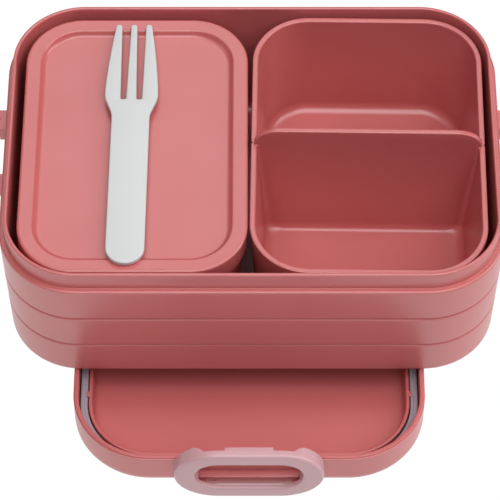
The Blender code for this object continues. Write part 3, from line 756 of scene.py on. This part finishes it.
def make_insert():
    half_x, half_y = INSERT_LENGTH / 2, INSERT_DEPTH / 2
    recess = INSERT_LEAN + INSERT_FOOT_INNER
    points = [
        (INSERT_LEAN + INSERT_RECESS_FLAT, INSERT_RECESS, 0),
        (recess + INSERT_RECESS_SLOPE, INSERT_RECESS, INSERT_RECESS_ROUND),
        (recess, 0, INSERT_FOOT_INNER_ROUND),
        (INSERT_LEAN + INSERT_FOOT_TUCK, 0, INSERT_FOOT_ROUND),
        (COLLAR_INSET, INSERT_HEIGHT - COLLAR_HEIGHT, COLLAR_ROUND),
        (0, INSERT_HEIGHT, RIM_ROUND),
        (INSERT_TOP_FLAT, INSERT_HEIGHT, 0),
    ]
    item = bridge("insert_tray", inset_loops(half_x, half_y, INSERT_RADIUS, soften(points)))
    combine(item, divider_plate(half_x), "UNION")
    for side in (-1, 1):
        combine(item, compartment(side, half_x, half_y), "DIFFERENCE")
        notch_x = side * half_x
        outline = [(notch_x, DIVIDER_Y - NOTCH_HALF), (notch_x + NOTCH_DEPTH, DIVIDER_Y),
                   (notch_x, DIVIDER_Y + NOTCH_HALF), (notch_x - NOTCH_DEPTH, DIVIDER_Y)]
        notch = rounded_prism("notch", outline, "Z", INSERT_HEIGHT - NOTCH_LENGTH,
                              INSERT_HEIGHT + CUT_PAST, 0)
        combine(item, notch, "DIFFERENCE")
    return place(item, "body_plastic", "bento_insert", "insert", INSERT_PLACE, INSERT_TURN, sharp=32)


# ---- the small box and its lid ---------------------------------------------------------

SNACK_LENGTH = snack_lid_high[0] - snack_lid_low[0]
SNACK_DEPTH = snack_lid_high[1] - snack_lid_low[1]
SNACK_RADIUS = 19.5 * MM
SNACK_BORDER = 5.2 * MM
SNACK_SUNK = 2 * MM
SNACK_PANEL = 1.5 * MM
SNACK_LID_WALL = 1.4 * MM
SNACK_LID_EDGE = 0.3 * MM
SNACK_SKIRT_EDGE = 0.2 * MM
SNACK_LID_ROUND = 0.9 * MM
SNACK_BORDER_ROUND = 0.5 * MM
SNACK_PANEL_FILLET = 0.9 * MM
SNACK_SLOPE = 1.1 * MM          # of the border's inner side, above
SNACK_SLOPE_FLAT = 9 * MM
SNACK_UNDER_START, SNACK_UNDER_END = 0.6 * MM, 1.5 * MM     # of the same side, underneath
SNACK_UNDER_FLAT = 6 * MM
SNACK_GAP = 0.3 * MM            # between the small box and its lid's wall
SNACK_WALL = 1.6 * MM
SNACK_DRAFT = 1.3 * MM
SNACK_FLOOR = 3.4 * MM
SNACK_FLOOR_FILLET = 4 * MM
SNACK_FLOOR_FLAT = 9 * MM
SNACK_EDGE = 0.4 * MM
SNACK_FOOT = 6 * MM
SNACK_FOOT_ROUND = 3 * MM
SNACK_RECESS = 1.6 * MM
SNACK_RECESS_START, SNACK_RECESS_FLAT = 7 * MM, 10 * MM
SNACK_RECESS_ROUND = 0.5 * MM
SNACK_PLACE = Vector((middle("snack_container_lid").x, middle("snack_container_lid").y, 0))


def make_snack_container():
    outside = SNACK_LID_WALL + SNACK_GAP
    inside = outside + SNACK_WALL
    bottom, rim = snack_low[2], snack_high[2]
    recess, floor = bottom + SNACK_RECESS, bottom + SNACK_FLOOR
    points = [
        (outside + SNACK_DRAFT + SNACK_RECESS_FLAT, recess, 0),
        (outside + SNACK_DRAFT + SNACK_RECESS_START, recess, SNACK_RECESS_ROUND),
        (outside + SNACK_DRAFT + SNACK_FOOT, bottom, SNACK_EDGE),
        (outside + SNACK_DRAFT, bottom, SNACK_FOOT_ROUND),
        (outside, rim, SNACK_EDGE),
        (inside, rim, SNACK_EDGE),
        (inside + SNACK_DRAFT, floor, SNACK_FLOOR_FILLET),
        (inside + SNACK_DRAFT + SNACK_FLOOR_FLAT, floor, 0),
    ]
    item = bridge("snack_box", inset_loops(SNACK_LENGTH / 2, SNACK_DEPTH / 2, SNACK_RADIUS, soften(points)))
    return place(item, "body_plastic", "snack_container", "container", SNACK_PLACE)


def make_snack_lid():
    top, low = snack_lid_high[2], snack_lid_low[2]
    under = top - SNACK_SUNK - SNACK_PANEL
    points = [
        (SNACK_BORDER + SNACK_UNDER_FLAT, under, 0),
        (SNACK_BORDER + SNACK_UNDER_END, under, SNACK_LID_EDGE),
        (SNACK_BORDER + SNACK_UNDER_START, top - SNACK_PANEL, SNACK_LID_EDGE),
        (SNACK_LID_WALL, top - SNACK_PANEL, SNACK_LID_EDGE),
        (SNACK_LID_WALL, low, SNACK_SKIRT_EDGE),
        (0, low, SNACK_SKIRT_EDGE),
        (0, top, SNACK_LID_ROUND),
        (SNACK_BORDER, top, SNACK_BORDER_ROUND),
        (SNACK_BORDER + SNACK_SLOPE, top - SNACK_SUNK, SNACK_PANEL_FILLET),
        (SNACK_BORDER + SNACK_SLOPE_FLAT, top - SNACK_SUNK, 0),
    ]
    item = bridge("snack_lid", inset_loops(SNACK_LENGTH / 2, SNACK_DEPTH / 2, SNACK_RADIUS, soften(points)))
    return place(item, "body_plastic", "snack_container_lid", "container_lid", SNACK_PLACE)


# ---- the fork --------------------------------------------------------------------------

FORK_HALF_LENGTH = 51.4 * MM
FORK_TURN = radians(-0.5)
HANDLE_HALF = 6.5 * MM
HEAD_HALF = 9.15 * MM
TIP_HALF = 6.3 * MM
NECK_Y = 10 * MM
HEAD_Y = 20 * MM
SLOT_Y = 18.3 * MM              # root of the slots between the tines
SLOT_ROUND = 0.5 * MM
SLOT_STEPS = 6
TINE_ROUND_Y = 50.3 * MM
MID_TINE_ROOT, MID_TINE_TIP = 1.77 * MM, 1.08 * MM
SIDE_TINE_ROOT, SIDE_TINE_TIP = 3.65 * MM, 4.15 * MM
TAPER_POWER = 1.5               # the head narrows faster towards the tips
FORK_EDGE = 0.4 * MM
HANDLE_STEPS, NECK_STEPS, HEAD_STEPS = 16, 14, 10


def fork_half_width(y):
    if y < HEAD_Y:
        t = max(0, (y - NECK_Y) / (HEAD_Y - NECK_Y))
        return HANDLE_HALF + (HEAD_HALF - HANDLE_HALF) * (3 * t * t - 2 * t ** 3)
    t = (y - HEAD_Y) / (TINE_ROUND_Y - HEAD_Y)
    return HEAD_HALF - (HEAD_HALF - TIP_HALF) * t ** TAPER_POWER


def round_tip(inner_x, outer_x, steps=12):
    centre, radius = (inner_x + outer_x) / 2, (outer_x - inner_x) / 2
    turns = [pi * step / steps for step in range(steps + 1)]
    return [(centre + radius * cos(turn), TINE_ROUND_Y + radius * sin(turn)) for turn in turns]


def fork_outline():
    right = []
    for step in range(HANDLE_STEPS + 1):
        angle = (step / HANDLE_STEPS - 1) * pi / 2
        right.append((HANDLE_HALF * cos(angle), -FORK_HALF_LENGTH + HANDLE_HALF + HANDLE_HALF * sin(angle)))
    levels = [NECK_Y + (HEAD_Y - NECK_Y) * step / NECK_STEPS for step in range(NECK_STEPS + 1)]
    levels += [HEAD_Y + (TINE_ROUND_Y - HEAD_Y) * step / HEAD_STEPS for step in range(1, HEAD_STEPS)]
    right += [(fork_half_width(y), y) for y in levels]
    right += round_tip(SIDE_TINE_TIP, TIP_HALF)
    centre = (SIDE_TINE_ROOT + MID_TINE_ROOT) / 2
    radius = (SIDE_TINE_ROOT - MID_TINE_ROOT) / 2
    for step in range(SLOT_STEPS + 1):
        angle = pi * step / SLOT_STEPS
        right.append((centre + radius * cos(angle), SLOT_Y - SLOT_ROUND * sin(angle)))
    middle_tip = round_tip(-MID_TINE_TIP, MID_TINE_TIP)
    left = [(-x, y) for x, y in reversed(right)]
    return right + middle_tip + left[:-1]


def make_fork():
    thick = fork_high[2] - fork_low[2]
    item = rounded_prism("fork_moulding", fork_outline(), "Z", 0, thick, FORK_EDGE, segments=4)
    centre = middle("fork")
    location = (centre.x, centre.y, fork_low[2])
    return place(item, "fork_plastic", "fork", "fork", location, FORK_TURN, sharp=40)


make_lunch_box()
make_lid()
make_seal()
make_clips()
make_insert()
make_snack_container()
make_snack_lid()
make_fork()


# ---- floor, light and camera -----------------------------------------------------------

FLOOR_HALF = 4
FLOOR_Z = -0.2 * MM
FLOOR_SHADE = 0.02              # nearly black, so that its own even glow is what shows
FLOOR_ROUGHNESS = 0.9
FLOOR_SPECULAR = 0.1
FLOOR_GLOW = 1
WORLD_STRENGTH = 0.03
FOOT_OF_OBJECT = (0, 0, 0)      # what the lights point at
LOW_ON_OBJECT = (0, 0, 0.03)
CAMERA_DISTANCE = 0.9941
CAMERA_ELEVATION = radians(54.2)
CAMERA_SENSOR = 36
CAMERA_LENS = 199
CAMERA_SHIFT = (-0.0042, 0.0142)


def make_floor():
    bm = bmesh.new()
    outline = ((-1, -1), (1, -1), (1, 1), (-1, 1))
    bm.faces.new([bm.verts.new((x * FLOOR_HALF, y * FLOOR_HALF, FLOOR_Z)) for x, y in outline])
    floor = new_object("studio_floor", bm)
    material = bpy.data.materials.new("studio_white")
    material.use_nodes = True
    shader = material.node_tree.nodes["Principled BSDF"]
    shader.inputs["Base Color"].default_value = (FLOOR_SHADE, FLOOR_SHADE, FLOOR_SHADE, 1)
    shader.inputs["Roughness"].default_value = FLOOR_ROUGHNESS
    shader.inputs["Specular IOR Level"].default_value = FLOOR_SPECULAR
    shader.inputs["Emission Color"].default_value = (1, 1, 1, 1)
    shader.inputs["Emission Strength"].default_value = FLOOR_GLOW
    floor.data.materials.append(material)


def soft_light(name, location, target, size_x, size_y, power):
    """A rectangular light at a place, turned to its target; sizes in metres, power in watts."""
    light = bpy.data.lights.new(name, "AREA")
    light.shape = "RECTANGLE"
    light.size = size_x
    light.size_y = size_y
    light.energy = power
    item = bpy.data.objects.new(name, light)
    item.location = Vector(location)
    item.rotation_euler = (Vector(target) - Vector(location)).to_track_quat("-Z", "Y").to_euler()
    bpy.context.collection.objects.link(item)


def make_lights():
    soft_light("overhead", (0.08, -0.32, 1.58), FOOT_OF_OBJECT, 1.4, 1.2, 17.5)
    soft_light("back", (0, 1.15, 1.5), FOOT_OF_OBJECT, 1.3, 0.8, 5.5)
    soft_light("left_side", (-1.2, 0.1, 0.9), LOW_ON_OBJECT, 0.7, 1.4, 2)
    soft_light("right_side", (1.2, 0.1, 0.9), LOW_ON_OBJECT, 0.7, 1.4, 11)
    soft_light("front", (0.2, -1.25, 1.25), LOW_ON_OBJECT, 1.2, 0.8, 5.5)
    world = bpy.data.worlds.new("studio")
    world.use_nodes = True
    background = world.node_tree.nodes["Background"]
    background.inputs["Color"].default_value = (1, 1, 1, 1)
    background.inputs["Strength"].default_value = WORLD_STRENGTH
    bpy.context.scene.world = world
    bpy.context.scene.view_settings.view_transform = "Standard"


def make_camera():
    """A long lens above the front of the object, looking down at the box's footprint."""
    aim = Vector((BOX_PLACE.x, BOX_PLACE.y, 0))
    data = bpy.data.cameras.new("camera")
    data.sensor_width = CAMERA_SENSOR
    data.lens = CAMERA_LENS
    data.shift_x, data.shift_y = CAMERA_SHIFT
    item = bpy.data.objects.new("camera", data)
    item.location = aim + CAMERA_DISTANCE * Vector((0, -cos(CAMERA_ELEVATION), sin(CAMERA_ELEVATION)))
    item.rotation_euler = (aim - item.location).to_track_quat("-Z", "Y").to_euler()
    bpy.context.collection.objects.link(item)
    bpy.context.scene.camera = item


make_floor()
make_lights()
make_camera()
